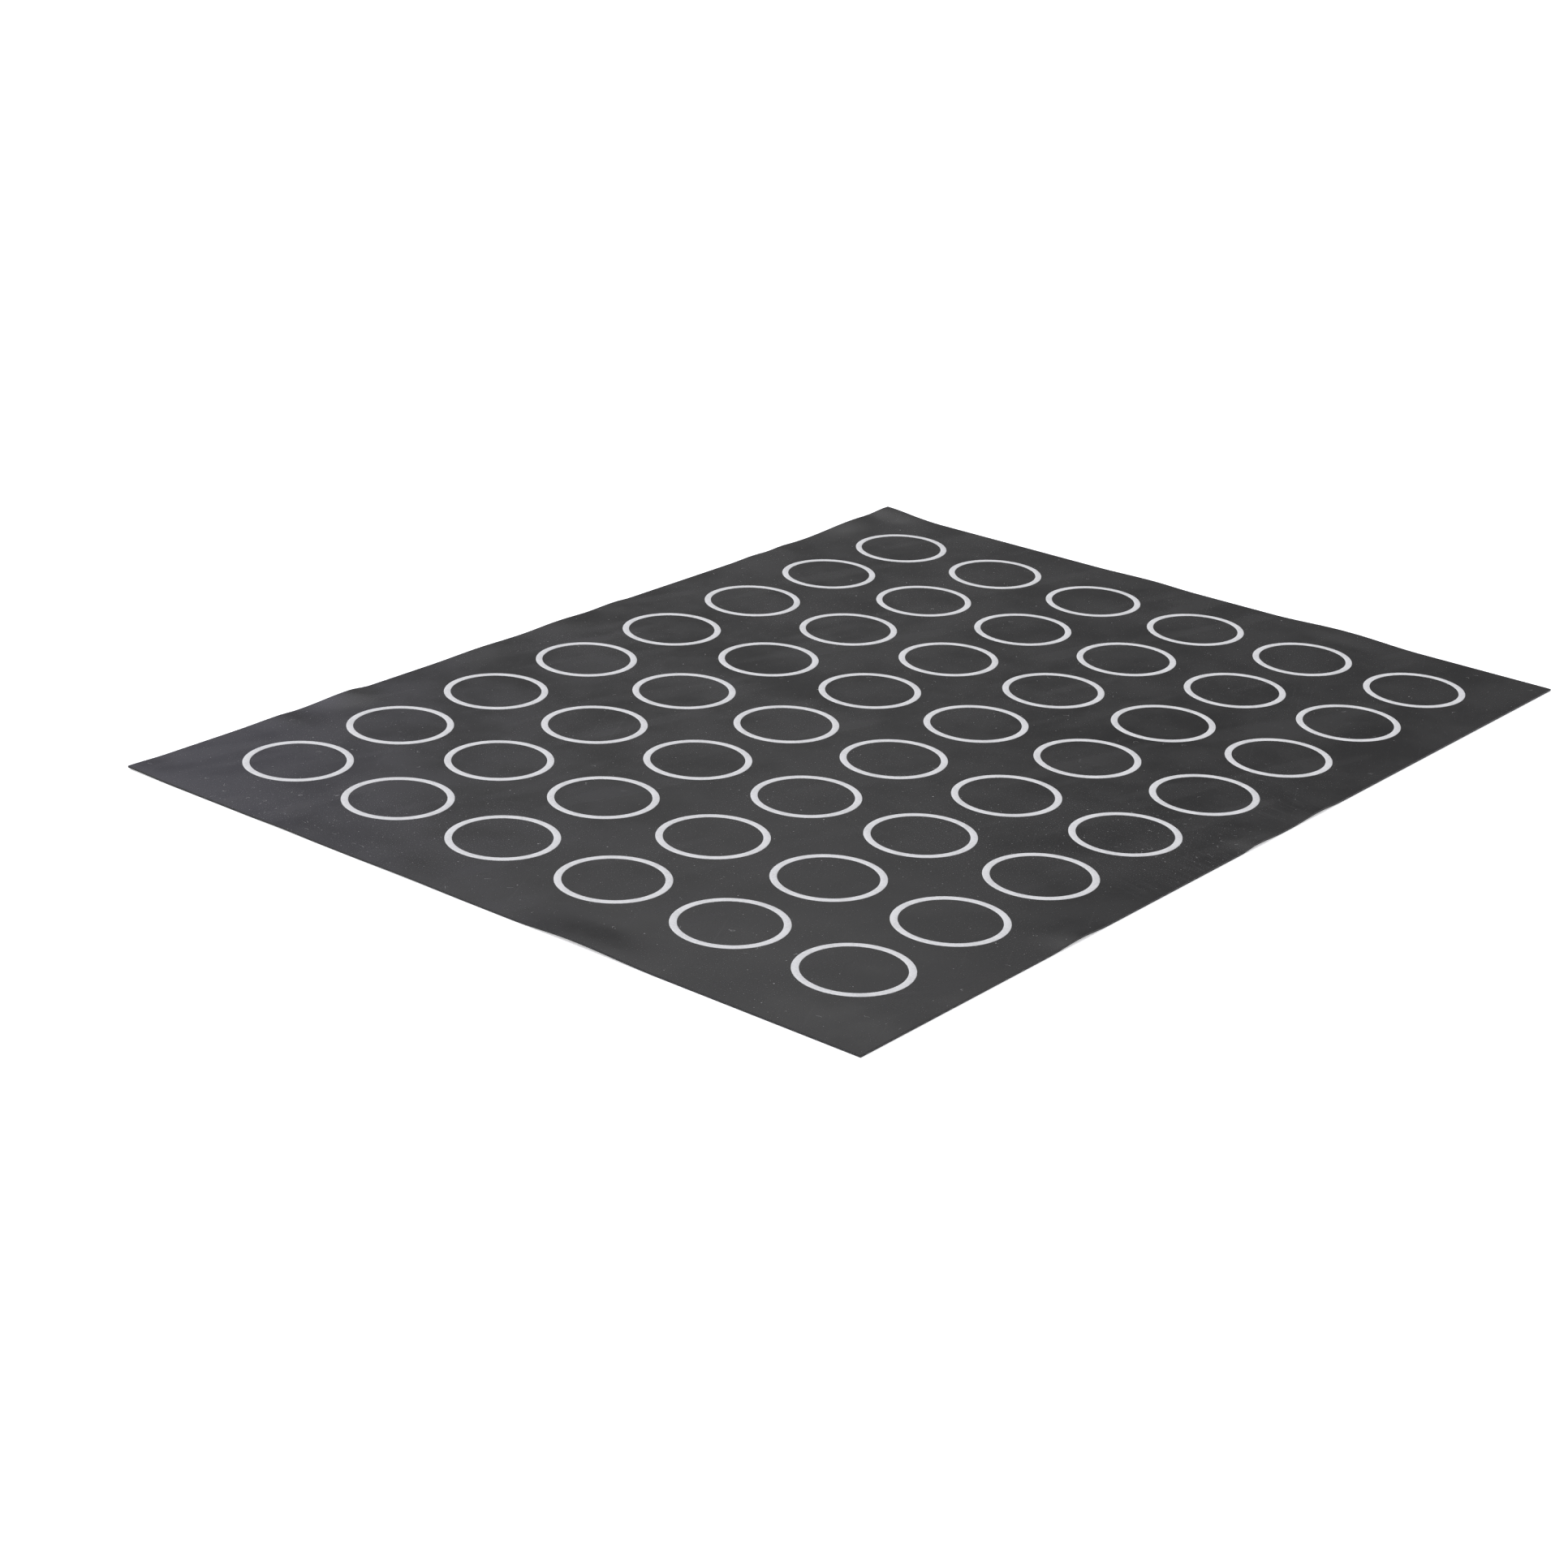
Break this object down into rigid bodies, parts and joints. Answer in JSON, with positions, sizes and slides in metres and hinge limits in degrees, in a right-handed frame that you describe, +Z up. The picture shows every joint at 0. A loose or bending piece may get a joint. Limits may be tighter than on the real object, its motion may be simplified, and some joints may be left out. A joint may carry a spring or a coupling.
{
  "type": "baking mat",
  "caption": "Flexible rectangular baking mat of black silicone-coated glass cloth, printed with a grid of light rings that mark where to pipe rounds of batter.",
  "frame": {"origin": "middle of the mat's underside, on the surface that it lies on", "axes": "+X along the long edges, +Y along the short edges, +Z up out of the printed face"},
  "size_m": [0.4, 0.3, 0.0024],
  "materials": {
    "base_coat": "matt black silicone with a faint print of the weave beneath",
    "glass_cloth": "plain-woven glass cloth soaked in black silicone, seen only at the cut edge",
    "top_coat": "satin black silicone with the fine weave showing through",
    "ring_ink": "light grey-white silicone ink, slightly mottled"
  },
  "bodies": {
    "root": {"base_coat": "base_coat", "glass_cloth": "glass_cloth", "top_coat": "top_coat", "ring_r1_c1": "ring_ink", "ring_r1_c2": "ring_ink", "ring_r1_c3": "ring_ink", "ring_r1_c4": "ring_ink", "ring_r1_c5": "ring_ink", "ring_r1_c6": "ring_ink", "ring_r1_c7": "ring_ink", "ring_r1_c8": "ring_ink", "ring_r2_c1": "ring_ink", "ring_r2_c2": "ring_ink", "ring_r2_c3": "ring_ink", "ring_r2_c4": "ring_ink", "ring_r2_c5": "ring_ink", "ring_r2_c6": "ring_ink", "ring_r2_c7": "ring_ink", "ring_r2_c8": "ring_ink", "ring_r3_c1": "ring_ink", "ring_r3_c2": "ring_ink", "ring_r3_c3": "ring_ink", "ring_r3_c4": "ring_ink", "ring_r3_c5": "ring_ink", "ring_r3_c6": "ring_ink", "ring_r3_c7": "ring_ink", "ring_r3_c8": "ring_ink", "ring_r4_c1": "ring_ink", "ring_r4_c2": "ring_ink", "ring_r4_c3": "ring_ink", "ring_r4_c4": "ring_ink", "ring_r4_c5": "ring_ink", "ring_r4_c6": "ring_ink", "ring_r4_c7": "ring_ink", "ring_r4_c8": "ring_ink", "ring_r5_c1": "ring_ink", "ring_r5_c2": "ring_ink", "ring_r5_c3": "ring_ink", "ring_r5_c4": "ring_ink", "ring_r5_c5": "ring_ink", "ring_r5_c6": "ring_ink", "ring_r5_c7": "ring_ink", "ring_r5_c8": "ring_ink", "ring_r6_c1": "ring_ink", "ring_r6_c2": "ring_ink", "ring_r6_c3": "ring_ink", "ring_r6_c4": "ring_ink", "ring_r6_c5": "ring_ink", "ring_r6_c6": "ring_ink", "ring_r6_c7": "ring_ink", "ring_r6_c8": "ring_ink"}
  },
  "joints": []
}
